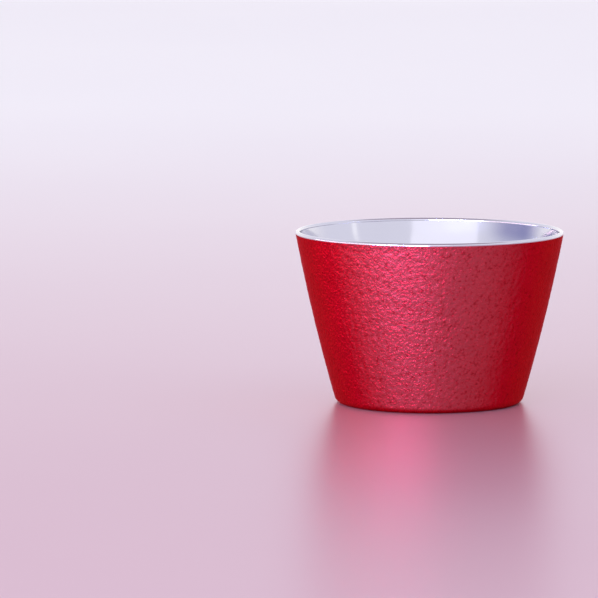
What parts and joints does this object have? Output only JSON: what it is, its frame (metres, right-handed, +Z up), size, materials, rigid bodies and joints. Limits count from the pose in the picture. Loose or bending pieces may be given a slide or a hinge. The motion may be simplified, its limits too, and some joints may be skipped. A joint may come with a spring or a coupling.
{
  "type": "sake cup",
  "caption": "Small flared double-walled drinking cup with a mirror-polished inside, a bare rolled lip and a red textured outer shell.",
  "frame": {"origin": "centre of the foot, on the plane that the cup stands on", "axes": "+Z up along the cup's axis; X and Y are free because the visible cup is a body of revolution"},
  "size_m": [0.062, 0.062, 0.04],
  "materials": {
    "red_coat": "translucent red over a finely wrinkled titanium surface, semi-gloss",
    "polished_titanium": "bare titanium, mirror polished",
    "satin_titanium": "bare titanium, satin turned",
    "brazing_glass": "dark fused glass, glossy",
    "getter_powder": "pressed metal powder, matt"
  },
  "bodies": {
    "root": {"outer_shell": "red_coat", "inner_cup": "polished_titanium", "rim_weld": "polished_titanium", "base_cover": "satin_titanium", "vacuum_seal": "brazing_glass", "getter": "getter_powder", "getter_clip": "satin_titanium"}
  },
  "joints": []
}
